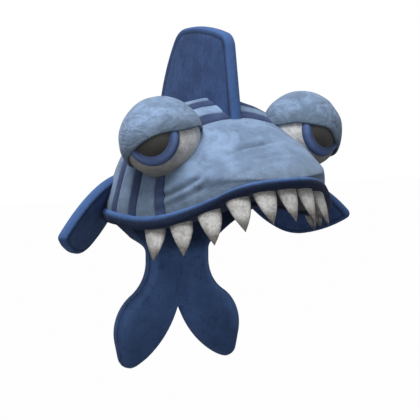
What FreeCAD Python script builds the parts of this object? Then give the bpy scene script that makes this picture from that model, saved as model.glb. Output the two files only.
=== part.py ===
import FreeCAD, Part
import math
import os

# A plush shark worn as a padded hat: a hollow upper-jaw head with felt teeth and
# two stuffed eyes, a stiff dorsal fin, two drooping side fins, and a flat body
# that hangs behind the neck and ends in two flukes.
# The shark looks along -Y, +X is its left side, +Z is up.
# The origin is the middle of the opening at the rim, where the wearer's head goes in.

V = FreeCAD.Vector
os.makedirs("parts", exist_ok=True)

# Head dome, outside of the cover
head_half_width = 101.7
head_front = -117.5
head_rear = 117.5
head_wide_y = 24.8
dome_start = 9.0
crown_height = 113.2
crown_y = 16.7
side_taper = 0.30
shoulder_power = 4.6
nape_draw = 0.15
nape_power = 2.4
brow_height = 51.3
snout_power = 0.83

# Walls of the head, from the outside in
cover_thick = 1.8
padding_thick = 17.0
lining_thick = 1.2
layer_gap = 0.25
sweatband_thick = 1.4
sweatband_height = 16.0

# Mouth edge seen from the side: it arches up at the front and runs level past the cheeks
mouth_peak_z = 43.5
mouth_bend_y = -91.0
mouth_bend_z = 28.0
mouth_sweep_y = -58.0
mouth_sweep_z = 9.3
mouth_level_y = -3.0
mouth_round = 0.35
rim_z = 0.0
lip_front_height = 8.2
lip_side_height = 10.5
lip_proud = 2.6

# Sewn-in stripes: where each crosses the crown and how it leans
stripe_width = 11.5
stripe_top_z = 100.0
stripe_front_y = -19.4
stripe_middle_y = 5.8
stripe_rear_y = 33.8
stripe_front_lean = 0.24
stripe_middle_lean = 0.11
stripe_rear_lean = 0.07

# Teeth, counted outwards from the middle one; those in the left corner are short and set in
teeth_per_side = 5
tooth_step = 20.3
tooth_step_growth = 1.0
tooth_width = 20.2
tooth_width_growth = 1.3
tooth_thick = 9.0
tooth_drop = 26.5
tooth_forward = 17.0
tooth_turn = 33.0
tooth_inset = 6.5
tooth_seat_share = 0.3
tooth_mid_share = 0.45
tooth_mid_width = 0.62
tooth_tip_width = 0.09
tooth_tip_thick = 0.3
last_full_tooth = 2
corner_tooth_share = 0.5
corner_tooth_width = 0.62
corner_tooth_inset = 13.5

# Eyes
eye_x = 75.3
eye_y = -21.2
eye_z = 81.0
eye_radius = 35.2
iris_thick = 0.8
iris_angle = 44.0
pupil_angle = 28.8
pupil_seam_angle = 0.4
pupil_thick = 0.6
lid_thick = 2.2
lid_sag = 1.5
eye_gap = 0.2
gaze_right = V(-0.702, -0.687, 0.124)
gaze_left = V(0.183, -0.933, 0.130)
lid_up_right = V(-0.161, 0.573, 0.803)
lid_up_left = V(0.502, 0.297, 0.812)

# Soft folds where the fins and the tail bend
fold_gap = 0.35
fold_swing = 38.0
fin_cloth = 1.6
welt_extra = 0.8

# Dorsal fin, seen from the side
fin_thick = 11.0
fin_round = 4.0
fin_fold_z = crown_height + 6.3
fin_foot_y = -30.5
fin_foot_z = crown_height - 25.2
fin_shoulder_y = -17.5
fin_shoulder_z = crown_height + 49.8
fin_brow_y = -6.0
fin_brow_z = crown_height + 61.8
fin_peak_y = 64.0
fin_peak_z = crown_height + 64.3
fin_back_y = 84.0
fin_back_z = crown_height + 52.3
fin_heel_y = 111.6
fin_heel_z = crown_height - 1.2
fin_tuck_y = 84.0
fin_tuck_z = crown_height - 43.2

# Side fins: the root line on the head, the tip, and the outline in the fin's own plane
side_root_top = V(85.5, 56.3, 38.7)
side_root_low = V(79.2, 79.7, 1.8)
side_tip = V(157.5, 15.8, -6.3)
side_thick = 9.0
side_round = 2.0
side_fold_out = 30.0
side_inboard = 22.0
side_length = 94.8
side_lead_angle = 20.0
side_lead_drop = 5.0
side_tip_width = 7.0
side_tip_skew = 2.3
side_bulge_out = 38.5
side_bulge_width = 56.5
side_trail_out = 64.0
side_trail_width = 48.6
side_root_width = 46.0

# Body behind the neck, and the tail
waist_half_width = 32.8
tail_front_y = 78.0
tail_thick = 19.0
tail_round = 5.5
tail_fold_z = -55.0
body_half_width = 86.0
body_wall = 14.0
body_side_y = 64.0
body_side_thick = 4.5
body_back_y = 114.0
body_front_y = 98.0
body_flare = 1.25
body_tuck = 2.0
waist_side_thick = 14.0
waist_side_slant = 2.0
waist_end_z = -52.0
fluke_split_z = -88.0
fluke_gap = 0.3
notch_z = -97.0
fluke_root_half_width = 50.0
fluke_root_z = -85.0
fluke_half_span = 68.0
fluke_wide_z = -130.0
fluke_tip_z = -155.5
fluke_toe_x = 52.0
fluke_toe_rise = 8.5
fluke_toe_inset = 3.5
fluke_heel_x = 40.0
fluke_heel_rise = 6.0


def save(name, shape):
    shape.exportStep("parts/%s.step" % name)


def arc(a, b, c):
    return Part.Arc(a, b, c).toShape()


def line(a, b):
    return Part.LineSegment(a, b).toShape()


def mirrored(shape):
    return shape.mirror(V(0, 0, 0), V(1, 0, 0))


def prism(edges, direction):
    """A closed outline pushed through the same distance both ways along a direction."""
    face = Part.Face(Part.Wire(edges))
    face.translate(direction * -1)
    return face.extrude(direction * 2)


def rounded(board, across, middle, half, radius):
    """Rounds the edges round a board's two faces."""
    def on_face(edge):
        first, last = edge.ParameterRange
        places = (first, 0.5 * (first + last), last)
        return min(abs(edge.valueAt(p).dot(across) - middle) for p in places) > half - 0.01
    return board.makeFillet(radius, [e for e in board.Edges if on_face(e)])


def smooth_edges(points, heading, place, inset=0):
    """Arcs through flat points. They start along a heading, in degrees, and meet without corners."""
    heading = math.radians(heading)
    nodes = []
    for a, b in zip(points[:-1], points[1:]):
        nodes.append((a, heading))
        chord = math.atan2(b[1] - a[1], b[0] - a[0])
        heading += 2 * math.remainder(chord - heading, 2 * math.pi)
    nodes.append((points[-1], heading))
    edges = []
    for (a, start), (b, end) in zip(nodes[:-1], nodes[1:]):
        ax, ay = a[0] - inset * math.sin(start), a[1] + inset * math.cos(start)
        bx, by = b[0] - inset * math.sin(end), b[1] + inset * math.cos(end)
        if abs(end - start) < 1e-6:
            edges.append(line(place(ax, ay), place(bx, by)))
            continue
        bulge = 0.5 * math.tan(0.25 * (end - start))
        mid = place(0.5 * (ax + bx) + bulge * (by - ay), 0.5 * (ay + by) - bulge * (bx - ax))
        edges.append(arc(place(ax, ay), mid, place(bx, by)))
    return edges


def closed(edges):
    """Adds the straight edge from the last end back to the first start."""
    first = edges[0].valueAt(edges[0].FirstParameter)
    last = edges[-1].valueAt(edges[-1].LastParameter)
    return edges + [line(last, first)]


# The head is a stack of egg-shaped levels
brow_level = (brow_height - dome_start) / (crown_height - dome_start)
dome_levels = (0.0, 0.13, 0.27, brow_level, 0.5, 0.6, 0.7, 0.79, 0.87, 0.93, 0.965, 0.985, 0.996)
wall = cover_thick + padding_thick + lining_thick + 2 * layer_gap
half_length = 0.5 * (head_rear - head_front)
below_rim = -30.0
far = 220.0


def egg(half_width, front, rear, wide, z):
    """Closed outline of eight arcs, half an ellipse in front and half behind."""
    def point(degrees):
        a = math.radians(degrees)
        reach = (wide - front) if math.cos(a) > 0 else (rear - wide)
        return V(half_width * math.sin(a), wide - reach * math.cos(a), z)
    return Part.Wire([arc(point(a), point(a + 22.5), point(a + 45)) for a in range(0, 360, 45)])


def head_level(t):
    """Half width, front, rear, widest place and height of the dome, t from 0 to 1."""
    z = dome_start + t * (crown_height - dome_start)
    half_width = head_half_width * (1 - side_taper * t) * math.sqrt(1 - t ** shoulder_power)
    fall = min(1.0, (crown_height - z) / (crown_height - brow_height))
    front = crown_y - (crown_y - head_front) * fall ** snout_power
    rear = crown_y + (head_rear - crown_y) * (1 - nape_draw * t) * math.sqrt(1 - t ** nape_power)
    wide = head_wide_y * (1 - t) + crown_y * t
    return half_width, front, rear, wide, z


def dome(inset):
    """The head's outer form, drawn in evenly towards the middle of the opening."""
    kx = 1 - inset / head_half_width
    ky = 1 - inset / half_length
    kz = 1 - inset / crown_height
    wires = [egg(kx * head_half_width, ky * head_front, ky * head_rear, ky * head_wide_y, below_rim)]
    for t in dome_levels:
        half_width, front, rear, wide, z = head_level(t)
        wires.append(egg(kx * half_width, ky * front, ky * rear, ky * wide, kz * z))
    return Part.makeLoft(wires, True, True)


def mouth_edge(front_lift, side_lift):
    """The mouth edge in side view, from front to rear, raised by the lip's height."""
    share = (mouth_bend_y - head_front) / (mouth_level_y - head_front)
    bend_lift = front_lift + share * (side_lift - front_lift)
    peak = V(0, head_front - lip_proud, mouth_peak_z + front_lift)
    bend = V(0, mouth_bend_y, mouth_bend_z + bend_lift)
    shoulder = V(0, 0.5 * (peak.y + bend.y), peak.z + mouth_round * (bend.z - peak.z))
    sweep = V(0, mouth_sweep_y, mouth_sweep_z + side_lift)
    level = V(0, mouth_level_y, rim_z + side_lift)
    return [line(V(0, -far, peak.z), peak), arc(peak, shoulder, bend), arc(bend, sweep, level),
            line(level, V(0, far, level.z))]


def below_edge(front_lift, side_lift):
    """Everything under the mouth edge, as one block."""
    edges = mouth_edge(front_lift, side_lift)
    first = edges[0].valueAt(edges[0].FirstParameter)
    last = edges[-1].valueAt(edges[-1].LastParameter)
    low_rear = V(0, far, -far)
    low_front = V(0, -far, -far)
    edges += [line(last, low_rear), line(low_rear, low_front), line(low_front, first)]
    return prism(edges, V(far, 0, 0))


head_form = dome(0.0)
lip_top = below_edge(lip_front_height, lip_side_height)
up_to_walls = below_edge(lip_front_height + layer_gap, lip_side_height + layer_gap)
opening_form = dome(wall)


def stripe_band(y_low, lean_low, y_high, lean_high):
    """The slice of space between two leaning planes, as seen from the side."""
    def at(y, lean, z):
        return V(0, y + lean * (z - stripe_top_z), z)
    a = at(y_low, lean_low, -far)
    b = at(y_high, lean_high, -far)
    c = at(y_high, lean_high, far)
    d = at(y_low, lean_low, far)
    return prism([line(a, b), line(b, c), line(c, d), line(d, a)], V(far, 0, 0))


def make_cover():
    """Seven cloth panels, sewn edge to edge: three dark stripes between four light ones."""
    skin = head_form.cut(dome(cover_thick)).cut(up_to_walls)
    half = 0.5 * stripe_width
    seams = [(-far, 0.0)]
    for y, lean in ((stripe_front_y, stripe_front_lean), (stripe_middle_y, stripe_middle_lean),
                    (stripe_rear_y, stripe_rear_lean)):
        seams += [(y - half, lean), (y + half, lean)]
    seams.append((far, 0.0))
    names = ("snout_cover", "stripe_front", "crown_panel_front", "stripe_middle", "crown_panel_rear",
             "stripe_rear", "rear_panel")
    for name, low, high in zip(names, seams[:-1], seams[1:]):
        save(name, skin.common(stripe_band(low[0], low[1], high[0], high[1])))


def make_inside():
    """Padding, lining and sweatband, each a hollow dome inside the one before."""
    inset = cover_thick + layer_gap
    save("head_padding", dome(inset).cut(dome(inset + padding_thick)).cut(up_to_walls))
    inset += padding_thick + layer_gap
    save("head_lining", dome(inset).cut(opening_form).cut(up_to_walls))
    band = dome(wall + layer_gap).cut(dome(wall + layer_gap + sweatband_thick)).cut(up_to_walls)
    save("sweatband", band.common(below_edge(lip_front_height + sweatband_height,
                                             lip_side_height + sweatband_height)))


def make_lip():
    """The padded roll round the whole opening; it closes the bottom of the walls."""
    ring = dome(-lip_proud).cut(opening_form).common(lip_top)
    save("lip_roll", ring.cut(below_edge(0, 0)))


def mouth_profile():
    points = []
    for edge in mouth_edge(0, 0):
        points += edge.discretize(60)
    return points


def mouth_z(y, points):
    for a, b in zip(points[:-1], points[1:]):
        if a.y <= y <= b.y and b.y > a.y:
            return a.z + (b.z - a.z) * (y - a.y) / (b.y - a.y)
    return rim_z


def along_lip(distance):
    """Place and outward direction on the tooth line, a distance from its front point."""
    a = head_half_width - tooth_inset
    b = head_wide_y - head_front - tooth_inset
    turn, run = 0.0, 0.0
    step = 0.002
    while run < distance:
        run += step * math.hypot(a * math.cos(turn), b * math.sin(turn))
        turn += step
    place = V(a * math.sin(turn), head_wide_y - b * math.cos(turn), 0)
    outward = V(b * math.sin(turn), -a * math.cos(turn), 0).normalize()
    return place, outward


def lens(centre, across, outward, half_width, half_thick):
    """A tooth's section: two shallow arcs that meet at the side seams."""
    left = centre - across * half_width
    right = centre + across * half_width
    return Part.Wire([arc(left, centre + outward * half_thick, right),
                      arc(right, centre - outward * half_thick, left)])


def make_teeth():
    profile = mouth_profile()
    socket = below_edge(-layer_gap, -layer_gap)
    for n in range(-teeth_per_side, teeth_per_side + 1):
        i = abs(n)
        place, outward = along_lip(tooth_step * i + tooth_step_growth * i * i)
        place.z = mouth_z(place.y, profile)
        lean = math.radians(tooth_turn * (i / teeth_per_side) ** 2)
        down = V(tooth_forward * math.sin(lean), -tooth_forward * math.cos(lean), -tooth_drop)
        across = V(-outward.y, outward.x, 0)
        width = tooth_width + tooth_width_growth * i
        if n > last_full_tooth:
            place = place - outward * (corner_tooth_inset - tooth_inset)
            down = V(0, -tooth_forward, -tooth_drop) * corner_tooth_share
            width = width * corner_tooth_width
        wires = []
        for share, size in ((-tooth_seat_share, 1.0), (0.0, 1.0), (tooth_mid_share, tooth_mid_width),
                            (1.0, tooth_tip_width)):
            thick = tooth_thick * (tooth_tip_thick + (1 - tooth_tip_thick) * size)
            wires.append(lens(place + down * share, across, outward, 0.5 * width * size, 0.5 * thick))
        tooth = Part.makeLoft(wires, True).common(socket)
        save("tooth_%02d" % (teeth_per_side + 1 + n), tooth if n >= 0 else mirrored(tooth))


def ball(centre, radius):
    return Part.makeSphere(radius, centre)


def beam(centre, direction, angle):
    """A cone from the eye's centre along its gaze."""
    reach = 2 * eye_radius
    return Part.makeCone(0, reach * math.tan(math.radians(angle)), reach, centre, direction)


def make_eye(side, sign, gaze, lid_up):
    centre = V(sign * eye_x, eye_y, eye_z)
    seat = dome(-eye_gap)
    save("eyeball_" + side, ball(centre, eye_radius).cut(seat))
    inner = eye_radius + eye_gap
    ring = ball(centre, inner + iris_thick).cut(ball(centre, inner))
    save("iris_" + side, ring.common(beam(centre, gaze, iris_angle)).cut(
        beam(centre, gaze, pupil_angle + pupil_seam_angle)).cut(seat))
    disc = ball(centre, inner + pupil_thick).cut(ball(centre, inner))
    save("pupil_" + side, disc.common(beam(centre, gaze, pupil_angle)))
    lid_inner = inner + iris_thick + eye_gap
    up = V(lid_up).normalize()
    upper_half = Part.makeCylinder(2 * eye_radius, 2 * eye_radius, centre - up * lid_sag, up)
    shell = ball(centre, lid_inner + lid_thick).cut(ball(centre, lid_inner))
    save("eyelid_" + side, shell.common(upper_half).cut(seat))


def fin_outline(inset):
    """Dorsal fin in side view: up the leading edge, over the top and down the back."""
    points = [(fin_foot_y, fin_foot_z), (fin_shoulder_y, fin_shoulder_z),
              (fin_brow_y, fin_brow_z), (fin_peak_y, fin_peak_z), (fin_back_y, fin_back_z),
              (fin_heel_y, fin_heel_z), (fin_tuck_y, fin_tuck_z)]
    rise = math.degrees(math.atan2(fin_shoulder_z - fin_foot_z, fin_shoulder_y - fin_foot_y))
    return closed(smooth_edges(points, rise, lambda y, z: V(0, y, z), -inset))


def slab(centre, axis, up, start):
    """Half of space, from a level above the centre onwards."""
    side = axis.cross(up)
    a = centre + up * start - axis * far - side * far
    b = a + side * 2 * far
    c = b + up * 2 * far
    d = a + up * 2 * far
    face = Part.Face(Part.Wire([line(a, b), line(b, c), line(c, d), line(d, a)]))
    return face.extrude(axis * 2 * far)


def past_fold(centre, axis, up, half):
    """What swings at a fold: all beyond its axis, with a round root."""
    return slab(centre, axis, up, 0).fuse(Part.makeCylinder(half, 2 * far, centre - axis * far, axis))


def fold_space(centre, axis, up, half):
    """Room for the round root, and for the faces as far as the fold swings."""
    radius = half + fold_gap
    lift = radius * math.sin(math.radians(fold_swing))
    pocket = Part.makeCylinder(radius, 2 * far, centre - axis * far, axis)
    return pocket.fuse(slab(centre, axis, up, -lift))


def make_dorsal_fin():
    half = 0.5 * fin_thick
    fold = V(0, 0, fin_fold_z)
    fore = V(0, 1, 0)
    up = V(0, 0, 1)
    board = rounded(prism(fin_outline(0), V(half, 0, 0)), V(1, 0, 0), 0, half, fin_round)
    moving = board.common(past_fold(fold, fore, up, half))
    core_half = half - fin_cloth
    core = prism(fin_outline(fin_cloth), V(core_half, 0, 0))
    core = core.common(past_fold(fold, fore, up, core_half))
    save("dorsal_fin_foam", core)
    pocket = prism(fin_outline(fin_cloth - layer_gap), V(core_half + layer_gap, 0, 0))
    pocket = pocket.common(past_fold(fold, fore, up, core_half + layer_gap))
    save("dorsal_fin_cover", moving.cut(pocket))
    welt = prism(fin_outline(0), V(half + welt_extra, 0, 0))
    welt = rounded(welt, V(1, 0, 0), 0, half + welt_extra, fin_round)
    welt = welt.cut(fold_space(fold, fore, up, half)).cut(dome(-eye_gap))
    save("dorsal_fin_base", welt)


def side_frame():
    """The side fin's own axes: down the root, out to the tip, and across the board."""
    along = (side_root_low - side_root_top).normalize()
    across = along.cross(side_tip - side_root_top).normalize()
    out = across.cross(along).normalize()
    return along, out, across


def side_outline(inset):
    """Side fin in its own plane: out along the leading edge, round the tip, back to the root."""
    along, out, across = side_frame()
    lead = math.radians(side_lead_angle)
    points = [(-side_inboard * math.cos(lead), side_inboard * math.sin(lead)), (0, 0),
              (side_length - side_tip_skew, side_lead_drop),
              (side_length, side_lead_drop + side_tip_width),
              (side_trail_out, side_trail_width), (side_bulge_out, side_bulge_width),
              (0, side_root_width)]
    edges = smooth_edges(points, -side_lead_angle, lambda s, c: side_root_top + out * s + along * c, inset)
    return closed(edges)


def side_board(inset, half):
    """The fin's flat board, its outline drawn in by an inset."""
    return prism(side_outline(inset), side_frame()[2] * half)


def soft_side_board(half):
    across = side_frame()[2]
    return rounded(side_board(0, half), across, side_root_top.dot(across), half, side_round)


def make_side_fins():
    along, out, across = side_frame()
    half = 0.5 * side_thick
    fold = side_root_top + out * side_fold_out
    moving = soft_side_board(half).common(past_fold(fold, along, out, half))
    core_half = half - fin_cloth
    core = side_board(fin_cloth, core_half)
    core = core.common(past_fold(fold, along, out, core_half))
    pocket = side_board(fin_cloth - layer_gap, core_half + layer_gap)
    pocket = pocket.common(past_fold(fold, along, out, core_half + layer_gap))
    cover = moving.cut(pocket)
    welt = soft_side_board(half + welt_extra).cut(fold_space(fold, along, out, half))
    for name, shape in (("pectoral_fin_cover", cover), ("pectoral_fin_foam", core)):
        save(name + "_left", shape)
        save(name + "_right", mirrored(shape))
    seat = dome(-eye_gap)
    lip_seat = dome(-lip_proud - eye_gap).common(up_to_walls)
    for side, root in (("left", welt), ("right", mirrored(welt))):
        save("pectoral_fin_root_" + side, root.cut(seat).cut(lip_seat))


def body_level(u):
    """The body's section: a crescent under the rim at u = 0, a flat bar at the waist."""
    z = rim_z - eye_gap + u * (tail_fold_z + 0.5 * tail_thick - rim_z + eye_gap)
    spread = (1 - u) ** body_flare
    tuck = (1 - u) ** body_tuck
    tail_middle_y = tail_front_y + 0.5 * tail_thick
    waist_inner = waist_half_width - waist_side_slant
    outer_x = waist_half_width + spread * (body_half_width - waist_half_width)
    inner_x = waist_inner + spread * (body_half_width - body_wall - waist_inner)
    side_y = tail_middle_y + tuck * (body_side_y + 0.5 * body_side_thick - tail_middle_y)
    side_half = 0.5 * (waist_side_thick + tuck * (body_side_thick - waist_side_thick))
    outer_side = side_y + side_half
    inner_side = side_y - side_half
    back = tail_middle_y + 0.5 * tail_thick + (1 - u) * (body_back_y - tail_front_y - tail_thick)
    front = tail_front_y + (1 - u) * (body_front_y - tail_front_y)
    a = V(-outer_x, outer_side, z)
    b = V(outer_x, outer_side, z)
    c = V(inner_x, inner_side, z)
    d = V(-inner_x, inner_side, z)
    return Part.Wire([arc(a, V(0, back, z), b), line(b, c), arc(c, V(0, front, z), d), line(d, a)])


def tail_fold():
    """Centre of the tail's fold, its axis, and the way the tail hangs from it."""
    return V(0, tail_front_y + 0.5 * tail_thick, tail_fold_z), V(1, 0, 0), V(0, 0, -1)


def make_body():
    centre, axis, hang = tail_fold()
    form = Part.makeLoft([body_level(u) for u in (0.0, 0.2, 0.4, 0.6, 0.8, 1.0)], True)
    save("body", form.cut(fold_space(centre, axis, hang, 0.5 * tail_thick)))


def tail_outline():
    """The tail from the front: a waist, then two flukes with a notch between them."""
    y = tail_front_y + 0.5 * tail_thick
    points = [(waist_half_width, tail_fold_z + tail_thick), (waist_half_width, waist_end_z),
              (fluke_root_half_width, fluke_root_z), (fluke_half_span, fluke_wide_z),
              (fluke_half_span - fluke_toe_inset, fluke_tip_z + fluke_toe_rise),
              (fluke_toe_x, fluke_tip_z), (fluke_heel_x, fluke_tip_z + fluke_heel_rise), (0, notch_z)]
    left = smooth_edges(points, -90, lambda x, z: V(x, y, z))
    right = smooth_edges([(-x, z) for x, z in points], -90, lambda x, z: V(x, y, z))
    top = line(V(-points[0][0], y, points[0][1]), V(points[0][0], y, points[0][1]))
    return Part.__sortEdges__(left + right + [top])


def make_tail():
    centre, axis, hang = tail_fold()
    half = 0.5 * tail_thick
    board = prism(tail_outline(), V(0, half, 0))
    board = rounded(board, V(0, 1, 0), centre.y, half, tail_round)
    save("tail_stock", board.common(past_fold(centre, axis, hang, half)).cut(
        slab(V(0, 0, fluke_split_z), axis, hang, 0)))
    flukes = board.common(slab(V(0, 0, fluke_split_z - fluke_gap), axis, hang, 0))
    for side, s in (("left", 1), ("right", -1)):
        save("fluke_" + side, flukes.common(slab(V(0.5 * s * fluke_gap, 0, 0), V(0, 1, 0), V(s, 0, 0), 0)))


make_cover()
make_inside()
make_lip()
make_teeth()
make_eye("left", 1, gaze_left, lid_up_left)
make_eye("right", -1, gaze_right, lid_up_right)
make_dorsal_fin()
make_side_fins()
make_body()
make_tail()
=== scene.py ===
import bmesh
import bpy
import math
from mathutils import Matrix, Vector, noise


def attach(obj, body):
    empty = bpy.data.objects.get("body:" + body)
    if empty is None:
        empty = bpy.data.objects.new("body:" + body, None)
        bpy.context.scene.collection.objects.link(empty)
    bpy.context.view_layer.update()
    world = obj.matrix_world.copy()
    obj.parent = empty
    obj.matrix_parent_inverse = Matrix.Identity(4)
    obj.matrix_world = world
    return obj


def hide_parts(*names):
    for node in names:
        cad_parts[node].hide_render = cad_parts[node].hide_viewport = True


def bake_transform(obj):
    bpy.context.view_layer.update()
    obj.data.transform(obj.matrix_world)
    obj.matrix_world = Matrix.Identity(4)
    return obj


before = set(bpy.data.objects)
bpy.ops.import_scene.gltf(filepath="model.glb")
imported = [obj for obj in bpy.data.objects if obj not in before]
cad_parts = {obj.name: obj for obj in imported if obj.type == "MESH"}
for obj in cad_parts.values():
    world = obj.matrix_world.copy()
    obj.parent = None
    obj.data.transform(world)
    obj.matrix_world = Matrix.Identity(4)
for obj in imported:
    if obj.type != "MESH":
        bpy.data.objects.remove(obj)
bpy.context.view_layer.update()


# The room: a pale floor well below the hanging toy, a white backdrop and a soft
# light from above and in front. The camera stands where the photographer stood.
class Strand:
    """A number, vector or colour on its way through a finish."""

    def __init__(self, finish, socket):
        self.finish, self.socket = finish, socket

    def maths(self, how, a, b=0.0):
        return self.finish.add("ShaderNodeMath", {"operation": how}, {0: a, 1: b})

    def __add__(self, other):
        return self.maths("ADD", self, other)

    def __radd__(self, other):
        return self.maths("ADD", other, self)

    def __sub__(self, other):
        return self.maths("SUBTRACT", self, other)

    def __rsub__(self, other):
        return self.maths("SUBTRACT", other, self)

    def __mul__(self, other):
        return self.maths("MULTIPLY", self, other)

    def __rmul__(self, other):
        return self.maths("MULTIPLY", other, self)

    def __truediv__(self, other):
        return self.maths("DIVIDE", self, other)

    def __abs__(self):
        return self.maths("ABSOLUTE", self)

    def __neg__(self):
        return self.maths("MULTIPLY", self, -1.0)

    def __pow__(self, other):
        return self.maths("POWER", self, other)

    def most(self, other):
        return self.maths("MAXIMUM", self, other)

    def fade(self, low, high):
        """0 at low, 1 at high, with a soft start and end."""
        return self.finish.add("ShaderNodeMapRange", {"interpolation_type": "SMOOTHSTEP"},
                               {"Value": self, "From Min": low, "From Max": high})


class Finish:
    """One cloth, felt or satin, as the nodes of a material."""

    def __init__(self, tree):
        self.tree = tree

    def add(self, kind, settings=None, sockets=None, out=0):
        node = self.tree.nodes.new(kind)
        for key, value in (settings or {}).items():
            if key == "stops":
                for stop, (place, colour) in zip(node.color_ramp.elements, value):
                    stop.position, stop.color = place, (*colour, 1)
            else:
                setattr(node, key, value)
        for key, value in (sockets or {}).items():
            if isinstance(value, Strand):
                self.tree.links.new(value.socket, node.inputs[key])
            elif isinstance(value, tuple) and len(value) == 3 and node.inputs[key].type == "RGBA":
                node.inputs[key].default_value = (*value, 1)
            else:
                node.inputs[key].default_value = value
        return Strand(self, node.outputs[out]) if len(node.outputs) else None


scene = bpy.context.scene
scene.view_settings.view_transform = "Standard"
room = scene.world or bpy.data.worlds.new("room")
scene.world = room
room.use_nodes = True
room.node_tree.nodes.clear()
air = Finish(room.node_tree)
seen = air.add("ShaderNodeLightPath", out=0).most(air.add("ShaderNodeLightPath", out=3))
seen = seen.most(air.add("ShaderNodeLightPath", out=6))
soft = air.add("ShaderNodeBackground", None, {"Color": (0.95, 0.97, 1.0), "Strength": 0.30})
white = air.add("ShaderNodeBackground", None, {"Color": (1.0, 1.0, 1.0), "Strength": 1.0})
air.add("ShaderNodeOutputWorld", None, {0: air.add("ShaderNodeMixShader", None, {0: seen, 1: soft, 2: white})})

for name, place, size, watts in (("lamp_above", (-0.50, -0.36, 1.40), 0.7, 28.0),
                                 ("lamp_front", (-1.2, -1.4, 0.75), 1.2, 4.5)):
    lamp = bpy.data.lights.new(name, "AREA")
    lamp.size, lamp.energy = size, watts
    holder = bpy.data.objects.new(name, lamp)
    scene.collection.objects.link(holder)
    holder.location = place
    holder.rotation_euler = (-Vector(place)).to_track_quat("-Z", "Y").to_euler()

eye = bpy.data.cameras.new("camera")
eye.lens, eye.sensor_width, eye.clip_end = 130.0, 36.0, 50.0
camera = bpy.data.objects.new("camera", eye)
scene.collection.objects.link(camera)
camera.location = (-0.7168, -1.2194, 0.2075)
camera.rotation_euler = (math.radians(82.0), 0.0, math.radians(-30.0))
scene.camera = camera

floor_level = -1.3
bm = bmesh.new()
bmesh.ops.create_grid(bm, x_segments=1, y_segments=1, size=9.0)
bmesh.ops.translate(bm, verts=bm.verts, vec=(0, 0, floor_level))
floor_mesh = bpy.data.meshes.new("floor")
bm.to_mesh(floor_mesh)
bm.free()
floor = bpy.data.objects.new("floor", floor_mesh)
scene.collection.objects.link(floor)
paint = bpy.data.materials.new("floor_paint")
paint.use_nodes = True
paint.node_tree.nodes.clear()
pale = Finish(paint.node_tree)
matt = pale.add("ShaderNodeBsdfDiffuse", None, {"Color": (0.62, 0.62, 0.62)})
glow = pale.add("ShaderNodeEmission", None, {"Color": (1.0, 1.0, 1.0), "Strength": 1.0})
by_eye = pale.add("ShaderNodeLightPath", out=0) * 0.985
pale.add("ShaderNodeOutputMaterial", None, {0: pale.add("ShaderNodeMixShader", None, {0: by_eye, 1: matt, 2: glow})})
floor_mesh.materials.append(paint)


# The head cover: light blue short-pile cloth with three dark stripes sewn in, over
# thick padding. The seams pull in and the snout is creased where it is stuffed least.
mm = 0.001
half_width, front, rear, wide_y = 101.7, -117.5, 117.5, 24.8
dome_start, crown_z, crown_y = 9.0, 113.2, 16.7
brow_z, snout_power = 51.3, 0.83
stripe_half = 5.75
stripes = ((-19.4, 0.24), (5.8, 0.11), (33.8, 0.07))
peak = (-120.1, 43.5)
lip_front, lip_side, lip_proud, wall = 8.2, 10.5, 2.6, 20.5


def egg_at(z):
    """The dome's half width, front, rear and widest place at a height, in mm."""
    t = min(max((z - dome_start) / (crown_z - dome_start), 0.0), 1.0)
    fall = min(max((crown_z - z) / (crown_z - brow_z), 0.0), 1.0)
    half = half_width * (1 - 0.30 * t) * math.sqrt(max(1 - t ** 4.6, 0.0))
    nose = crown_y - (crown_y - front) * fall ** snout_power
    back = crown_y + (rear - crown_y) * (1 - 0.15 * t) * math.sqrt(max(1 - t ** 2.4, 0.0))
    return half, nose, back, wide_y * (1 - t) + crown_y * t


def on_dome(turn, z, inset=0.0):
    """A place on the dome, or on the dome drawn in by an inset; turn 0 is the snout, in mm."""
    kx, ky, kz = 1 - inset / half_width, 1 - inset / rear, 1 - inset / crown_z
    half, nose, back, wide = egg_at(z / kz)
    a = 2 * math.pi * turn
    reach = wide - nose if math.cos(a) > 0 else back - wide
    return Vector((kx * half * math.sin(a), ky * (wide - reach * math.cos(a)), z))


def inside_dome(place, inset):
    """Whether a place, in metres, lies within the dome drawn in by an inset in mm."""
    kx, ky, kz = 1 - inset / half_width, 1 - inset / rear, 1 - inset / crown_z
    x, y, z = place.x / mm / kx, place.y / mm / ky, place.z / mm / kz
    if z >= crown_z:
        return False
    half, nose, back, wide = egg_at(z)
    reach = wide - nose if y < wide else back - wide
    return half > 1e-6 and reach > 1e-6 and (x / half) ** 2 + ((y - wide) / reach) ** 2 < 1


def arc_height(a, b, c):
    """The height of the arc through three points of the side view, as a function of y."""
    (x1, y1), (x2, y2), (x3, y3) = a, b, c
    d = 2 * (x1 * (y2 - y3) + x2 * (y3 - y1) + x3 * (y1 - y2))
    s1, s2, s3 = x1 * x1 + y1 * y1, x2 * x2 + y2 * y2, x3 * x3 + y3 * y3
    cx = (s1 * (y2 - y3) + s2 * (y3 - y1) + s3 * (y1 - y2)) / d
    cy = (s1 * (x3 - x2) + s2 * (x1 - x3) + s3 * (x2 - x1)) / d
    radius = math.hypot(x1 - cx, y1 - cy)
    way = 1 if b[1] > cy else -1
    return lambda y: cy + way * math.sqrt(max(radius * radius - (y - cx) ** 2, 0.0))


def mouth_line(front_lift, side_lift):
    """Height of the mouth edge at each y, raised by the lip's height, in mm."""
    share = (-91.0 - front) / (-3.0 - front)
    top = (peak[0], peak[1] + front_lift)
    bend = (-91.0, 28.0 + front_lift + share * (side_lift - front_lift))
    shoulder = (0.5 * (top[0] + bend[0]), top[1] + 0.35 * (bend[1] - top[1]))
    sweep, level = (-58.0, 9.3 + side_lift), (-3.0, side_lift)
    high, low = arc_height(top, shoulder, bend), arc_height(bend, sweep, level)
    return lambda y: top[1] if y < top[0] else high(y) if y < bend[0] else low(y) if y < level[0] else level[1]


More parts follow.
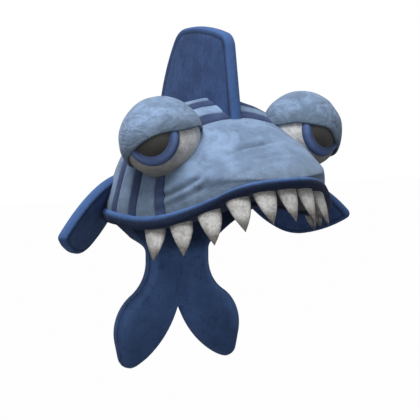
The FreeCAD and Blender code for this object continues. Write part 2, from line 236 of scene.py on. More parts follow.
mouth = mouth_line(0.0, 0.0)
lip_top = mouth_line(lip_front, lip_side)


def at_edge(turn, share, inset=0.0):
    """A place on the dome between the mouth edge, share 0, and the lip's top, share 1."""
    z = 20.0
    for _ in range(14):
        y = on_dome(turn, z, inset).y
        z = 0.5 * z + 0.5 * (mouth(y) + share * (lip_top(y) - mouth(y)))
    return on_dome(turn, z, inset)


def draped(around, up, form, closed=True):
    """A sheet of cloth laid over a form, which gives a place in mm for each turn and rise."""
    bm = bmesh.new()
    bmesh.ops.create_grid(bm, x_segments=around, y_segments=up, size=0.5)
    weave = bm.loops.layers.uv.new("weave")
    for face in bm.faces:
        for loop in face.loops:
            loop[weave].uv = (loop.vert.co.x + 0.5, loop.vert.co.y + 0.5)
    for v in bm.verts:
        v.co = form(v.co.x + 0.5, v.co.y + 0.5) * mm
    if closed:
        bmesh.ops.remove_doubles(bm, verts=bm.verts, dist=2e-6)
    bmesh.ops.recalc_face_normals(bm, faces=bm.faces)
    bm.normal_update()
    return bm


def trim_inside(bm, inset):
    """Cuts away what lies hidden within the head."""
    hidden = [v for v in bm.verts if inside_dome(v.co, inset)]
    bmesh.ops.delete(bm, geom=hidden, context="VERTS")


def sewn(name, bm, finish, replaces=(), body="head"):
    """The finished piece, on its body."""
    bm.normal_update()
    mesh = bpy.data.meshes.new(name)
    bm.to_mesh(mesh)
    bm.free()
    for polygon in mesh.polygons:
        polygon.use_smooth = True
    mesh.materials.append(finish)
    piece = bpy.data.objects.new(name, mesh)
    scene.collection.objects.link(piece)
    if body:
        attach(piece, body)
    if replaces:
        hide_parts(*replaces)
    return piece


class Cloth(Finish):
    """A finish with one skin shader."""

    def __init__(self, name, **fixed):
        self.material = bpy.data.materials.new(name)
        self.material.use_nodes = True
        super().__init__(self.material.node_tree)
        self.tree.nodes.clear()
        self.skin = self.tree.nodes.new("ShaderNodeBsdfPrincipled")
        for key, value in fixed.items():
            self.skin.inputs[key.replace("_", " ")].default_value = value
        self.add("ShaderNodeOutputMaterial", None, {0: Strand(self, self.skin.outputs[0])})

    def place(self):
        """Where the surface is, in metres, as x, y and z."""
        object_place = self.add("ShaderNodeTexCoord", out=3)
        return [self.add("ShaderNodeSeparateXYZ", None, {0: object_place}, out=k) for k in range(3)]

    def weave(self):
        uv = self.add("ShaderNodeUVMap", {"uv_map": "weave"})
        return [self.add("ShaderNodeSeparateXYZ", None, {0: uv}, out=k) for k in range(2)]

    def mottle(self, size, detail=3.0, rough=0.55, stretch=None, twist=0.0):
        """Cloudy variation from 0 to 1, of a size in metres."""
        where = self.add("ShaderNodeTexCoord", out=3)
        if stretch:
            where = self.add("ShaderNodeMapping", None, {"Vector": where, "Scale": stretch})
        return self.add("ShaderNodeTexNoise", None, {"Vector": where, "Scale": 1 / size, "Detail": detail,
                                                     "Roughness": rough, "Distortion": twist})

    def mix(self, a, b, share):
        return self.add("ShaderNodeMix", {"data_type": "RGBA"}, {0: share, 6: a, 7: b}, out=2)

    def dress(self, relief=None, depth=0.001, **ends):
        for key, strand in ends.items():
            self.tree.links.new(strand.socket, self.skin.inputs[key.replace("_", " ")])
        if relief is not None:
            bump = self.add("ShaderNodeBump", None, {"Height": relief, "Distance": depth, "Strength": 1.0})
            self.tree.links.new(bump.socket, self.skin.inputs["Normal"])
        return self.material


def head_form(turn, rise):
    """From just under the lip's top edge up to the crown."""
    foot = at_edge(turn, 0.86, 0.2).z
    z = foot + (crown_z - 0.02 - foot) * math.sin(0.5 * math.pi * rise)
    return on_dome(turn, z)


bm = draped(232, 92, head_form)
for y0, lean in stripes:
    for side in (-stripe_half, stripe_half):
        for step in (-3.4, -1.3, 0.0, 1.3, 3.4):
            bmesh.ops.bisect_plane(bm, geom=bm.verts[:] + bm.edges[:] + bm.faces[:], dist=1e-5,
                                   plane_co=(0, (y0 + side + step) * mm, 0.1), plane_no=(0, 1, -lean))
creases = ([(-97, -20, 28), (-81.5, -48, 34), (-65, -73, 50), (-23, -71, 73), (1.5, -69, 76), (32, -60, 76)],
           [(-91, -42, 24), (-72, -72, 37), (-44, -86, 55), (-8, -88, 65), (26, -82, 64), (52, -66, 58)],
           [(-60, -62, 60), (-38, -55, 74), (-12, -40, 88), (14, -38, 90)])


def off_crease(place, line):
    """Distance in mm from a crease's line, and how far along it the nearest point is."""
    best, along = 1e9, 0.0
    for k, (a, b) in enumerate(zip(line[:-1], line[1:])):
        a, b = Vector(a), Vector(b)
        t = min(max((place - a).dot(b - a) / (b - a).length_squared, 0.0), 1.0)
        gap = (place - a - (b - a) * t).length
        if gap < best:
            best, along = gap, (k + t) / (len(line) - 1)
    return best, along


bm.normal_update()
seam_layer = bm.verts.layers.float.new("seam")
# The crease attribute holds painted shade along the snout's creases.
crease_shade_layer = bm.verts.layers.float.new("crease")
moves = []
for v in bm.verts:
    place = v.co / mm
    push = 0.9 * noise.noise(place * 0.028) + 0.35 * noise.noise(place * 0.09)
    for y0, lean in stripes:
        for side in (-stripe_half, stripe_half):
            gap = (place.y - lean * (place.z - 100.0) - y0 - side) / math.hypot(1, lean)
            push -= 1.0 * math.exp(-(gap / 1.5) ** 2)
            v[seam_layer] = max(v[seam_layer], math.exp(-(gap / 0.8) ** 2))
    for line, depth in zip(creases, (2.5, 1.9, 1.1)):
        gap, along = off_crease(place + 2.2 * noise.noise_vector(place * 0.05), line)
        fade = math.sin(math.pi * min(max(along, 0.02), 0.98)) ** 0.4
        push += depth * fade * (0.5 * math.exp(-((gap - 5.0) / 4.0) ** 2) - math.exp(-(gap / 2.2) ** 2))
        v[crease_shade_layer] = max(v[crease_shade_layer], 0.36 * depth * fade * math.exp(-(gap / 2.0) ** 2))
    low = at_edge(math.atan2(place.x, wide_y - place.y) / (2 * math.pi), 1.0).z if place.z < 66 else 0.0
    if low:
        push -= 1.4 * math.exp(-max(place.z - low, 0.0) / 3.0)
    moves.append((v, v.normal * push * mm))
for v, move in moves:
    v.co += move
    v.co.y += 0.5 * mm * noise.noise(v.co * 45.0)


def in_stripe(face):
    place = face.calc_center_median() / mm
    return any(abs(place.y - lean * (place.z - 100.0) - y0) < stripe_half for y0, lean in stripes)


dark = bm.copy()
bmesh.ops.delete(dark, geom=[f for f in dark.faces if not in_stripe(f)], context="FACES")
bmesh.ops.delete(bm, geom=[f for f in bm.faces if in_stripe(f)], context="FACES")

pile = Cloth("head_pile", Roughness=0.92, Sheen_Weight=0.15, Sheen_Roughness=0.5, Sheen_Tint=(0.75, 0.85, 1.0, 1))
clouds, spots, nap = pile.mottle(0.030, 4.0, 0.6, twist=0.6), pile.mottle(0.0065, 3.0), pile.mottle(0.0011, 2.0)
streaks = pile.mottle(0.012, 3.0, 0.6, stretch=(1.0, 1.0, 0.35), twist=1.5)
turn_uv, rise_uv = pile.weave()
seam = pile.add("ShaderNodeAttribute", {"attribute_name": "seam"}, out=2)
# Painted shade on the head cloth just above the lip roll.
painted_shade_by_lip = 1.0 - rise_uv.fade(0.0, 0.20)
shadow = pile.add("ShaderNodeAttribute", {"attribute_name": "crease"}, out=2)
colour = pile.mix((0.120, 0.180, 0.285), (0.205, 0.300, 0.460), clouds.fade(0.32, 0.66))
colour = pile.mix(colour, (0.095, 0.140, 0.200), spots.fade(0.50, 0.76) * 0.5)
colour = pile.mix(colour, (0.27, 0.37, 0.53), streaks.fade(0.55, 0.80) * 0.3)
# Painted shade: the lower part of the head cover is darker, away from the light above.
colour = pile.mix(colour, (0.110, 0.165, 0.250), (1.0 - rise_uv.fade(0.05, 0.50)) * 0.2)
colour = pile.mix(colour, (0.075, 0.100, 0.115), painted_shade_by_lip * (0.22 + 0.5 * spots))
colour = pile.mix(colour, (0.045, 0.065, 0.105), seam * 0.7)
colour = pile.mix(colour, (0.050, 0.072, 0.110), shadow)
head_pile = pile.dress(nap * 0.30 + spots * 0.45 + clouds * 1.6, 0.0012, Base_Color=colour)
head_cover = sewn("head_cover", bm, head_pile,
                  ("snout_cover", "crown_panel_front", "crown_panel_rear", "rear_panel", "head_padding"))

ink = Cloth("stripe_pile", Specular_IOR_Level=0.2, Roughness=0.93, Sheen_Weight=0.1, Sheen_Roughness=0.5, Sheen_Tint=(0.6, 0.7, 1.0, 1))
clouds, spots, nap = ink.mottle(0.02, 4.0, 0.6), ink.mottle(0.005, 3.0), ink.mottle(0.0011, 2.0)
seam = ink.add("ShaderNodeAttribute", {"attribute_name": "seam"}, out=2)
colour = ink.mix((0.026, 0.041, 0.095), (0.052, 0.080, 0.170), clouds.fade(0.3, 0.7))
colour = ink.mix(colour, (0.02, 0.03, 0.075), spots.fade(0.5, 0.75) * 0.5)
colour = ink.mix(colour, (0.012, 0.018, 0.045), seam * 0.75)
stripe_pile = ink.dress(nap * 0.30 + spots * 0.5 + clouds, 0.0012, Base_Color=colour)
head_stripes = sewn("head_stripes", dark, stripe_pile,
                    ("stripe_front", "stripe_middle", "stripe_rear"))


# The lip: a padded roll of deep blue cloth sewn round the whole mouth and rim. It
# closes the walls from below, and its top is tucked against the head cover.
lip_section = ((-2.4, 1.02), (-0.4, 1.06), (1.5, 0.93), (2.6, 0.66), (2.7, 0.36), (1.9, 0.10), (0.0, -0.03),
               (-4.0, -0.06), (-10.0, -0.05), (-16.0, -0.05), (-19.0, 0.02), (-20.3, 0.22), (-20.4, 0.6),
               (-20.2, 1.0))


def along_section(points, t):
    """A smooth run through the points of a section."""
    k = min(int(t * (len(points) - 1)), len(points) - 2)
    t = t * (len(points) - 1) - k
    a, b, c, d = (points[min(max(k + i, 0), len(points) - 1)] for i in (-1, 0, 1, 2))
    return [0.5 * (2 * q + (r - p) * t + (2 * p - 5 * q + 4 * r - s) * t * t + (3 * q - p - 3 * r + s) * t ** 3)
            for p, q, r, s in zip(a, b, c, d)]


def lip_form(turn, rise):
    out, share = along_section(lip_section, rise)
    lump = 0.35 * noise.noise(Vector((9 * math.sin(2 * math.pi * turn), 9 * math.cos(2 * math.pi * turn), 2 * rise)))
    return at_edge(turn, share, -out - lump)


deep = Cloth("lip_pile", Specular_IOR_Level=0.2, Roughness=0.88, Sheen_Weight=0.08, Sheen_Roughness=0.45, Sheen_Tint=(0.55, 0.7, 1.0, 1))
clouds, spots, nap = deep.mottle(0.016, 4.0, 0.6), deep.mottle(0.004, 3.0), deep.mottle(0.001, 2.0)
turn_uv, rise_uv = deep.weave()
# Painted light: the top of the roll is lighter and its underside darker, as light falls from above.
painted_light_on_top = 1.0 - rise_uv.fade(0.13, 0.27)
colour = deep.mix((0.009, 0.017, 0.046), (0.080, 0.165, 0.390), painted_light_on_top * (0.65 + 0.35 * clouds))
colour = deep.mix(colour, (0.014, 0.026, 0.065), spots.fade(0.5, 0.78) * 0.5)
lip_pile = deep.dress(nap * 0.3 + spots * 0.6 + clouds, 0.0011, Base_Color=colour)
lip = sewn("lip_roll_cover", draped(260, 44, lip_form), lip_pile, ("lip_roll",))


# The lining: smooth dark cloth that faces the wearer's head, with a turned
# sweatband round the rim.
def lining_form(turn, rise):
    foot = at_edge(turn, 0.9, 20.3).z
    top = (crown_z - 0.3) * (1 - 20.3 / crown_z)
    z = foot + (top - foot) * math.sin(0.5 * math.pi * rise)
    place = on_dome(turn, z, 20.3)
    return place + Vector((place.x, place.y, 0)).normalized() * 0.5 * noise.noise(place * 0.06)


def band_form(turn, rise):
    lift = (0.35, 0.95, 1.6, 2.2, 2.45, 2.5, 2.2, 1.6, 0.95, 0.35)
    k = rise * 9
    i = min(int(k), 8)
    share = lift[i] + (lift[i + 1] - lift[i]) * (k - i)
    z0 = at_edge(turn, 1.0, 21.0).z
    z = z0 - 9.0 + share * 9.0
    return on_dome(turn, z, 20.6 if rise < 0.5 else 22.0 + 0.4 * math.sin(math.pi * rise))


satin = Cloth("lining_satin", Roughness=0.62, Sheen_Weight=0.15)
clouds, thread = satin.mottle(0.02), satin.mottle(0.0006, 1.0, stretch=(1.0, 1.0, 3.0))
colour = satin.mix((0.014, 0.020, 0.038), (0.024, 0.034, 0.062), clouds)
lining_satin = satin.dress(thread * 0.25 + clouds, 0.0008, Base_Color=colour)
lining = draped(128, 40, lining_form)
bmesh.ops.reverse_faces(lining, faces=lining.faces)
sewn("lining", lining, lining_satin, ("head_lining",))
sewn("sweatband_cover", draped(128, 18, band_form), lining_satin, ("sweatband",))


# The teeth: eleven stuffed felt triangles, each two faces sewn at the sides, caught
# under the lip. Painted shade greys their side seams and tips.
tooth_step, tooth_growth, tooth_drop, tooth_forward, tooth_thick = 20.3, 1.0, 26.5, 17.0, 9.0
last_full, corner_share, corner_width, corner_inset = 2, 0.5, 0.62, 13.5


def along_lip(distance):
    """Place and outward direction on the tooth line, a distance from the middle of the mouth."""
    a, b = half_width - 6.5, wide_y - front - 6.5
    turn, run, step = 0.0, 0.0, 0.002
    while run < distance:
        run += step * math.hypot(a * math.cos(turn), b * math.sin(turn))
        turn += step
    place = Vector((a * math.sin(turn), wide_y - b * math.cos(turn), 0))
    place.z = mouth(place.y)
    return place, Vector((b * math.sin(turn), -a * math.cos(turn), 0)).normalized()


def tooth(n):
    i, side = abs(n), -1 if n < 0 else 1
    place, outward = along_lip(tooth_step * i + tooth_growth * i * i)
    lean = math.radians(33.0 * (i / 5) ** 2)
    down = Vector((tooth_forward * math.sin(lean), -tooth_forward * math.cos(lean), -tooth_drop))
    across = Vector((-outward.y, outward.x, 0))
    width = 20.2 + 1.3 * i
    if n > last_full:
        place -= outward * (corner_inset - 6.5)
        down = Vector((0, -tooth_forward, -tooth_drop)) * corner_share
        width *= corner_width
    sway = 1.0 * noise.noise(Vector((n * 3.7, 0.3, 0)))

    def form(turn, rise):
        s = -0.16 + 1.16 * rise
        taper = max(1 - max(s, 0) ** 1.75, 0.0)
        size = max(taper, 0.035)
        a = 2 * math.pi * turn
        x = math.cos(a)
        puff = math.copysign(max(1 - x * x, 0.0) ** 0.8, math.sin(a))
        thick = 0.5 * tooth_thick * (0.22 + 0.78 * size) * min(1, 6.5 * size)
        bumpy = 1 + 0.10 * noise.noise(Vector((n * 5.1 + 2 * x, 4 * s, puff)))
        spot = place + down * s + across * (0.5 * width * size * x + sway * s * s) + outward * thick * puff * bumpy
        return Vector((side * spot.x, spot.y, spot.z))
    return draped(36, 26, form)


felt = Cloth("tooth_felt", Roughness=0.95, Sheen_Weight=0.15, Sheen_Roughness=0.6)
clouds, fibres, grain = felt.mottle(0.008, 4.0, 0.65), felt.mottle(0.0022, 4.0, 0.7), felt.mottle(0.0007, 2.0)
turn_uv, rise_uv = felt.weave()
# Painted shade: the felt turns grey along the side seams and towards the tip.
edge = abs(abs(turn_uv - 0.5) - 0.25) * 4.0
edge = edge.fade(0.52, 0.96)
tip_shade = rise_uv.fade(0.50, 0.84)
colour = felt.mix((0.29, 0.285, 0.275), (0.49, 0.485, 0.475), clouds.fade(0.3, 0.6))
colour = felt.mix(colour, (0.19, 0.18, 0.165), fibres.fade(0.48, 0.70) * 0.65)
painted_shade_grey = (edge * 0.9).most(tip_shade) * (0.45 + 0.9 * fibres)
colour = felt.mix(colour, (0.085, 0.075, 0.065), painted_shade_grey)
tooth_felt = felt.dress(grain * 0.25 + fibres * 0.8 + clouds * 0.8, 0.0010, Base_Color=colour)
for n in range(-5, 6):
    sewn("felt_tooth_%02d" % (n + 6), tooth(n), tooth_felt, ("tooth_%02d" % (n + 6),))


# The eyes: fleece balls let into the brow. Each has a padded blue ring round a dark
# satin pupil, and a heavy lid of head cloth sewn over its upper half.
eye_radius = 35.2
eyes = {"right": (-1, (-0.702, -0.687, 0.124), (-0.161, 0.573, 0.803), ((8.0, 0.63, 0.09),)),
        "left": (1, (0.183, -0.933, 0.130), (0.502, 0.297, 0.812), ((10.5, 0.43, 0.10), (-6.0, 0.655, 0.05)))}


def polar(centre, pole, section, wobble=0.0, seed=0.0, hang=()):
    """A form turned about a pole: the section gives an angle from it in degrees, and a radius.
    Each part of hang lets the edge down by degrees, about one turn and over a width."""
    pole = Vector(pole).normalized()
    side = pole.orthogonal().normalized()
    other = pole.cross(side)

    def form(turn, rise):
        angle, radius = section(rise)
        sag = 8.0 * bool(hang) + sum(drop * math.exp(-((turn - at) / wide) ** 2) for drop, at, wide in hang)
        angle *= 1 + sag / 91.5
        a, b = 2 * math.pi * turn, math.radians(angle)
        way = pole * math.cos(b) + (side * math.cos(a) + other * math.sin(a)) * math.sin(b)
        radius += wobble * noise.noise(way * 2.6 + Vector((seed, seed, 0)))
        return centre + way * radius
    return form


fleece = Cloth("eye_fleece", Roughness=0.97, Sheen_Weight=0.15, Sheen_Roughness=0.6)
clouds, curls, grain = fleece.mottle(0.011, 4.0, 0.6), fleece.mottle(0.0032, 4.0, 0.65, twist=1.2), fleece.mottle(0.0009)
height = fleece.place()[2]
shade = 1.0 - (height + 0.006 * clouds).fade(0.050, 0.088)
colour = fleece.mix((0.50, 0.495, 0.485), (0.74, 0.735, 0.72), clouds.fade(0.3, 0.62))
colour = fleece.mix(colour, (0.27, 0.26, 0.24), curls.fade(0.48, 0.72) * 0.5)
colour = fleece.mix(colour, (0.10, 0.088, 0.072), shade * 0.85)
eye_fleece = fleece.dress(grain * 0.25 + curls * 1.1 + clouds * 0.5, 0.0013, Base_Color=colour)

ring = Cloth("iris_cloth", Roughness=0.85, Sheen_Weight=0.1, Sheen_Roughness=0.4, Sheen_Tint=(0.6, 0.7, 1, 1))
clouds, nap = ring.mottle(0.009, 3.0), ring.mottle(0.0009, 2.0)
turn_uv, rise_uv = ring.weave()
# Painted light: the padded ring is lighter along its crown and darker towards its inner and outer edges.
middle = 1.0 - abs(rise_uv - 0.36).fade(0.02, 0.30)
colour = ring.mix((0.030, 0.052, 0.125), (0.095, 0.155, 0.350), middle * (0.65 + 0.35 * clouds))
iris_cloth = ring.dress(nap * 0.35 + clouds, 0.0009, Base_Color=colour)

gloss = Cloth("pupil_satin", Roughness=0.42, Sheen_Weight=0.1)
clouds, thread = gloss.mottle(0.008, 3.0), gloss.mottle(0.0005, 1.0, stretch=(1, 1, 4))
colour = gloss.mix((0.008, 0.007, 0.006), (0.022, 0.020, 0.018), clouds)
pupil_satin = gloss.dress(thread * 0.2 + clouds * 0.6, 0.0006, Base_Color=colour, Roughness=0.40 + clouds * 0.22)

lid_cloth = Cloth("lid_pile", Roughness=0.92, Sheen_Weight=0.15, Sheen_Roughness=0.5, Sheen_Tint=(0.75, 0.85, 1, 1))
clouds, spots, nap = (lid_cloth.mottle(0.024, 4.0, 0.6, twist=1.4), lid_cloth.mottle(0.006, 3.0),
                      lid_cloth.mottle(0.0011, 2.0))
wrinkle = lid_cloth.mottle(0.026, 2.0, 0.5, stretch=(1.0, 1.0, 1.8), twist=2.2)
turn_uv, rise_uv = lid_cloth.weave()
# Painted shade on the lid's hem and its underside.
hem = rise_uv.fade(0.36, 0.52)
colour = lid_cloth.mix((0.115, 0.172, 0.265), (0.210, 0.302, 0.460), clouds.fade(0.34, 0.62))
colour = lid_cloth.mix(colour, (0.095, 0.140, 0.200), spots.fade(0.5, 0.76) * 0.45)
# Painted shade along the lines of the lid's wrinkles.
colour = lid_cloth.mix(colour, (0.075, 0.110, 0.165), (wrinkle.fade(0.50, 0.60) - wrinkle.fade(0.60, 0.70)) * 0.35)
colour = lid_cloth.mix(colour, (0.060, 0.085, 0.115), hem * 0.8)
lid_pile = lid_cloth.dress(nap * 0.2 + spots * 0.3 + wrinkle * 1.3, 0.0014, Base_Color=colour)


def ball_section(rise):
    return 180 * rise, eye_radius


def iris_section(rise):
    if rise < 0.72:
        k = rise / 0.72
        return 28.2 + 16.4 * k, eye_radius + 0.3 + 1.9 * math.sin(math.pi * k) ** 0.75
    k = (rise - 0.72) / 0.28
    return 44.6 - 16.4 * k, eye_radius + 0.3 - 0.9 * math.sin(math.pi * k)


def pupil_section(rise):
    return 29.2 * rise, eye_radius + 0.25 + 0.9 * math.cos(0.5 * math.pi * rise ** 2)


def lid_section(rise):
    """Out from the pole, round the hem, and back inside."""
    if rise < 0.5:
        return 91.5 * rise / 0.5, eye_radius + 3.4
    if rise < 0.62:
        k = (rise - 0.5) / 0.12
        return 91.5 + 2.2 * math.sin(math.pi * k), eye_radius + 2.15 + 1.25 * math.cos(math.pi * k)
    return 91.5 * (1 - (rise - 0.62) / 0.38), eye_radius + 0.9


for side, (sign, gaze, lid_up, hang) in eyes.items():
    centre = Vector((sign * 75.3, -21.2, 81.0))
    ball = draped(72, 48, polar(centre, (sign * 0.6, -0.6, 0.4), ball_section, 0.7, sign))
    trim_inside(ball, 8.0)
    sewn("eye_ball_" + side, ball, eye_fleece, ("eyeball_" + side,))
    sewn("eye_ring_" + side, draped(72, 22, polar(centre, gaze, iris_section)), iris_cloth,
         ("iris_" + side,))
    sewn("eye_pupil_" + side, draped(48, 14, polar(centre, gaze, pupil_section)), pupil_satin,
         ("pupil_" + side,))
    lid = draped(96, 60, polar(centre, lid_up, lid_section, 0.8, 3 * sign, hang))
    trim_inside(lid, 8.0)
    sewn("eye_lid_" + side, lid, lid_pile, ("eyelid_" + side,))


# The fins: two faces of deep blue cloth with a strip boxed in all round their edge,
# stuffed flat; painted light brightens the strip along the leading and top edge. Each is sewn into the head.
def outline(points, heading, count, closing=True):
    """Even points along arcs that pass through the corners and meet smoothly."""
    heading = math.radians(heading)
    run = []
    for a, b in zip(points[:-1], points[1:]):
        chord = math.atan2(b[1] - a[1], b[0] - a[0])
        bend = 2 * math.remainder(chord - heading, 2 * math.pi)
        length = math.hypot(b[0] - a[0], b[1] - a[1])
        for k in range(40):
            t = k / 40
            if abs(bend) < 1e-6:
                run.append((a[0] + (b[0] - a[0]) * t, a[1] + (b[1] - a[1]) * t))
                continue
            radius = length / (2 * math.sin(0.5 * bend))
            run.append((a[0] + radius * (math.sin(heading + bend * t) - math.sin(heading)),
                        a[1] - radius * (math.cos(heading + bend * t) - math.cos(heading))))
        heading += bend
    run.append(points[-1])
    if closing:
        run.append(run[0])
    lengths = [0.0]
    for a, b in zip(run[:-1], run[1:]):
        lengths.append(lengths[-1] + math.hypot(b[0] - a[0], b[1] - a[1]))
    even, k = [], 0
    for n in range(count + 1):
        want = lengths[-1] * n / count
        while k < len(run) - 2 and lengths[k + 1] < want:
            k += 1
        t = (want - lengths[k]) / max(lengths[k + 1] - lengths[k], 1e-9)
        even.append(Vector((run[k][0] + (run[k + 1][0] - run[k][0]) * t,
                            run[k][1] + (run[k + 1][1] - run[k][1]) * t)))
    return even


def boxed(edge, middle, half, swell, onto):
    """A flat stuffed fin: rise runs from the middle of one face, over the boxed edge, to the other."""
    count = len(edge) - 1
    spin = sum((edge[k] - Vector(middle)).cross(edge[k + 1] - Vector(middle)) for k in range(count))
    inward = []
    for k in range(count + 1):
        ahead, behind = edge[(k + 2) % count], edge[(k - 2) % count]
        way = (ahead - behind).normalized()
        inward.append(Vector((-way.y, way.x)) * (1 if spin > 0 else -1))
    round_by = 3.4

    def form(turn, rise):
        k = min(int(round(turn * count)), count)
        spot, way = edge[k], inward[k]
        side = -1 if rise < 0.5 else 1
        r = abs(rise - 0.5) * 2
        if r < 0.16:
            depth, across = -0.35 * math.cos(0.5 * math.pi * r / 0.16), (half - round_by) * r / 0.16
        elif r < 0.34:
            a = 0.5 * math.pi * (r - 0.16) / 0.18
            depth, across = round_by * (1 - math.cos(a)), half - round_by + round_by * math.sin(a)
        else:
            depth, across = round_by, half
        place = spot + way * depth
        if r >= 0.34:
            q = (r - 0.34) / 0.66
            seam_dip = 0.7 * math.exp(-((r - 0.36) / 0.03) ** 2)
            place = place.lerp(Vector(middle), q)
            across = half - seam_dip + swell * math.sin(0.5 * math.pi * min(1, 1.6 * q))
        return onto(place.x, place.y, side * across)
    return form


navy = Cloth("fin_pile", Specular_IOR_Level=0.2, Roughness=0.9, Sheen_Weight=0.08, Sheen_Roughness=0.45, Sheen_Tint=(0.55, 0.68, 1.0, 1))
clouds, spots, nap = navy.mottle(0.022, 4.0, 0.6), navy.mottle(0.005, 3.0), navy.mottle(0.001, 2.0)
grain = navy.mottle(0.0030, 4.0, 0.7, stretch=(1.0, 1.0, 0.16))
turn_uv, rise_uv = navy.weave()
strip = 1.0 - abs(rise_uv - 0.5).fade(0.12, 0.19)
stitch = 1.0 - abs(abs(rise_uv - 0.5) - 0.185).fade(0.0, 0.014)
ahead = 1.0 - turn_uv.fade(0.50, 0.60)
colour = navy.mix((0.028, 0.056, 0.145), (0.046, 0.090, 0.220), clouds.fade(0.3, 0.7))
colour = navy.mix(colour, (0.019, 0.036, 0.090), grain.fade(0.48, 0.72) * 0.5)
# Painted light: the strip is lightened only along the leading and top edge, where light falls.
colour = navy.mix(colour, (0.055, 0.115, 0.280), strip * ahead * (0.6 + 0.4 * clouds))
colour = navy.mix(colour, (0.009, 0.014, 0.03), stitch * 0.6)
fin_pile = navy.dress(nap * 0.3 + spots * 0.4 + grain * 0.4 + clouds * 0.6, 0.0011, Base_Color=colour)

dorsal_edge = outline([(-30.5, 88.0), (-17.5, 163.0), (-6.0, 175.0), (64.0, 177.5), (84.0, 165.5),
                       (111.6, 112.0), (84.0, 70.0)], math.degrees(math.atan2(75.0, 13.0)), 220)
bm = draped(220, 56, boxed(dorsal_edge, (32.0, 128.0), 5.5, 0.9, lambda y, z, x: Vector((x, y, z))))
trim_inside(bm, 9.0)
dorsal = sewn("dorsal_fin_shell", bm, fin_pile,
              ("dorsal_fin_base", "dorsal_fin_cover", "dorsal_fin_foam"), body=None)
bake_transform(dorsal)

root_top, root_low = Vector((85.5, 56.3, 38.7)), Vector((79.2, 79.7, 1.8))
side_tip = Vector((157.5, 15.8, -6.3))
down_root = (root_low - root_top).normalized()
across_fin = down_root.cross(side_tip - root_top).normalized()
out_fin = across_fin.cross(down_root).normalized()
lead = math.radians(20.0)
side_edge = outline([(-22.0 * math.cos(lead), 22.0 * math.sin(lead)), (0, 0), (92.5, 5.0), (94.8, 12.0),
                     (64.0, 48.6), (38.5, 56.5), (0, 46.0)], -20.0, 200)
for side, sign in (("left", 1), ("right", -1)):
    def onto(s, c, w):
        place = root_top + out_fin * s + down_root * c + across_fin * w
        return Vector((sign * place.x, place.y, place.z))
    bm = draped(200, 56, boxed(side_edge, (36.0, 26.0), 4.5, 0.8, onto))
    trim_inside(bm, 9.0)
    fin = sewn("side_fin_shell_" + side, bm, fin_pile,
               ("pectoral_fin_root_" + side, "pectoral_fin_cover_" + side, "pectoral_fin_foam_" + side),
               body=None)
    near = (root_top + out_fin * 24.0 + down_root * 23.0) * mm
    far = (root_top + out_fin * 36.0 + down_root * 23.0) * mm
    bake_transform(fin)


# The body: a stuffed bag of the same blue cloth that starts as a crescent under the
# back of the rim, narrows to a waist and splits into two boxed flukes.
waist, fold_z, tail_mid, tail_half, notch = 32.8, -55.0, 87.5, 9.5, -97.0
waist_z = fold_z + tail_half
outer_edge = outline([(waist, waist_z), (waist, -52.0), (50.0, -85.0), (68.0, -130.0), (64.5, -147.0),
                      (52.0, -155.5)], -90.0, 200, closing=False)
inner_edge = outline([(0.0, notch), (40.0, -149.5), (52.0, -155.5)], -72.0, 200, closing=False)


def bowed(middle, side, reach, x):
    """The depth at x of an arc across the body, from its middle to its side."""
    d = middle - side
    if abs(d) < 1e-6:
        return middle
    radius = (reach * reach + d * d) / (2 * d)
    return middle - radius + math.copysign(math.sqrt(max(radius * radius - x * x, 0.0)), radius)


def body_row(rise):
    """One row across the bag: its outer and inner ends and its front and back faces."""
    if rise < 0.36:
        u = rise / 0.36
        z = -0.2 + u * (waist_z + 0.2)
        spread, tuck = (1 - u) ** 1.25, (1 - u) ** 2
        outer_x = waist + spread * (86.0 - waist)
        inner_x = waist - 2.0 + spread * (72.0 - waist + 2.0)
        side_y = tail_mid + tuck * (66.25 - tail_mid)
        thick = 0.5 * (14.0 + tuck * (4.5 - 14.0))
        back, frontal = 97.0 + (1 - u) * 17.0, 78.0 + (1 - u) * 20.0
        return (Vector((outer_x, z)), Vector((0, z)), inner_x / outer_x,
                lambda x: bowed(frontal, side_y - thick, inner_x, min(x, inner_x)),
                lambda x: bowed(back, side_y + thick, outer_x, min(x, outer_x)))
    t = (rise - 0.36) / 0.64
    outer = outer_edge[min(int(round(t * 200)), 200)]
    if outer.y > notch:
        inner = Vector((0.0, outer.y))
    else:
        split = next(k for k in range(201) if outer_edge[k].y <= notch)
        q = (t * 200 - split) / (200 - split)
        inner = inner_edge[min(int(round(max(q, 0.0) * 200)), 200)]
    return outer, inner, 1.0, None, None


def bag_form(turn, rise):
    """turn runs over the front face, round the side, and back over the rear face."""
    spot = bag_spot(turn, rise)
    share = min(max((rise - 0.20) / 0.16, 0.0), 1.0)
    if 0 < share and rise < 0.36:
        below = bag_spot(turn, 0.361)
        below.z = spot.z
        spot = spot.lerp(below, share * share * (3 - 2 * share))
    return spot


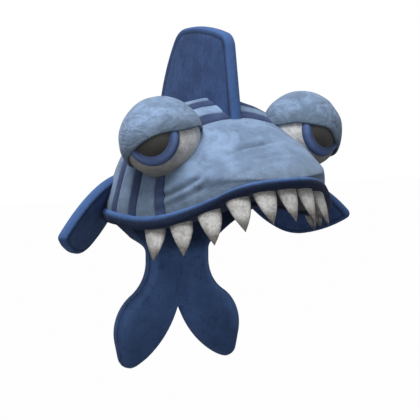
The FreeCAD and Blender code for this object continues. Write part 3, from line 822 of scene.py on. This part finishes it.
def bag_spot(turn, rise):
    outer, inner, ratio, front_of, back_of = body_row(rise)
    width = (outer - inner).length
    face = turn < 0.42 or turn > 0.58
    k = min(turn / 0.42, 1.0) if turn < 0.5 else min((1 - turn) / 0.42, 1.0)
    k = math.sin(0.5 * math.pi * k) ** 0.9
    side = (turn - 0.42) / 0.16
    if front_of:
        x_front, x_back = k * outer.x * ratio, k * outer.x
        y_front, y_back = front_of(x_front), back_of(x_back)
        if face:
            x, y = (x_front, y_front) if turn < 0.5 else (x_back, y_back)
        else:
            x = outer.x * (ratio + (1 - ratio) * side) + 1.2 * math.sin(math.pi * side)
            y = y_front + (y_back - y_front) * side
        return Vector((x, y, outer.y))
    spot = inner.lerp(outer, k)
    gap_out = (1 - k) * width
    round_by = min(5.5, 0.45 * width)
    thick = tail_half
    if gap_out < round_by:
        thick -= round_by - math.sqrt(max(round_by ** 2 - (round_by - gap_out) ** 2, 0.0))
    gap_in = k * width
    soft_edge = min(9.0, 0.45 * width)
    if inner.y < notch - 0.01 and gap_in < soft_edge:
        thick *= math.sqrt(max(1 - (1 - gap_in / soft_edge) ** 2, 0.0))
    elif inner.y < notch - 0.01 and width < 1e-6:
        thick = 0.0
    toe = min(max((rise - 0.90) / 0.10, 0.0), 1.0)
    thick = thick * (1 - 0.75 * toe ** 2)
    thick = min(thick, 0.62 * width) + 0.8 * math.sin(math.pi * k) * min(width / 40, 1)
    if face:
        y = tail_mid + (-thick if turn < 0.5 else thick)
        return Vector((spot.x, y, spot.y))
    y = tail_mid + thick * (2 * side - 1)
    bulge = min(width / 10, 1.0) * math.sin(math.pi * side)
    return Vector((outer.x + bulge, y, outer.y))


stuffed = Cloth("body_pile", Specular_IOR_Level=0.2, Roughness=0.9, Sheen_Weight=0.08, Sheen_Roughness=0.45, Sheen_Tint=(0.55, 0.68, 1.0, 1))
clouds, spots, nap = stuffed.mottle(0.028, 4.0, 0.6), stuffed.mottle(0.005, 3.0), stuffed.mottle(0.001, 2.0)
folds = stuffed.mottle(0.012, 3.0, 0.5, stretch=(0.35, 1.0, 2.2), twist=1.2)
turn_uv, rise_uv = stuffed.weave()
height = stuffed.place()[2]
# Painted highlight on the rounded outer shoulders of the tail's front and back faces.
shoulder = 1.0 - abs(abs(turn_uv - 0.5) - 0.20).fade(0.02, 0.09)
stitch = 1.0 - abs(abs(turn_uv - 0.5) - 0.075).fade(0.003, 0.016)
# Painted shadow high on the body, just under the head.
painted_shadow_under_head = height.fade(-0.050, -0.012)
low = 1.0 - height.fade(-0.150, -0.088)
colour = stuffed.mix((0.060, 0.120, 0.285), (0.095, 0.180, 0.415), clouds.fade(0.3, 0.7))
colour = stuffed.mix(colour, (0.150, 0.275, 0.600), shoulder * (1.0 - low) * (1.0 - painted_shadow_under_head) * (0.3 + 0.5 * clouds))
colour = stuffed.mix(colour, (0.022, 0.043, 0.105), low * 0.6)
colour = stuffed.mix(colour, (0.024, 0.046, 0.115), spots.fade(0.5, 0.76) * 0.4)
colour = stuffed.mix(colour, (0.007, 0.011, 0.024), painted_shadow_under_head * 0.8)
colour = stuffed.mix(colour, (0.007, 0.011, 0.024), stitch * 0.7)
body_pile = stuffed.dress(nap * 0.3 + spots * 0.5 + clouds * 0.7 + folds * low * 1.3, 0.0012, Base_Color=colour)

bm = draped(96, 190, bag_form, closed=False)
bmesh.ops.remove_doubles(bm, verts=bm.verts, dist=3e-5)
copy = bmesh.ops.duplicate(bm, geom=bm.verts[:] + bm.edges[:] + bm.faces[:])["geom"]
twins = [g for g in copy if isinstance(g, bmesh.types.BMVert)]
bmesh.ops.scale(bm, verts=twins, vec=(-1, 1, 1))
bmesh.ops.reverse_faces(bm, faces=[g for g in copy if isinstance(g, bmesh.types.BMFace)])
bmesh.ops.remove_doubles(bm, verts=bm.verts, dist=3e-5)
crotch = [e for e in bm.edges if e.is_boundary and e.verts[0].co.z < -0.05]
bmesh.ops.holes_fill(bm, edges=crotch, sides=12)
bmesh.ops.recalc_face_normals(bm, faces=bm.faces)
body = sewn("body_bag", bm, body_pile, ("body", "tail_stock", "fluke_left", "fluke_right"),
            body=None)
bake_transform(body)
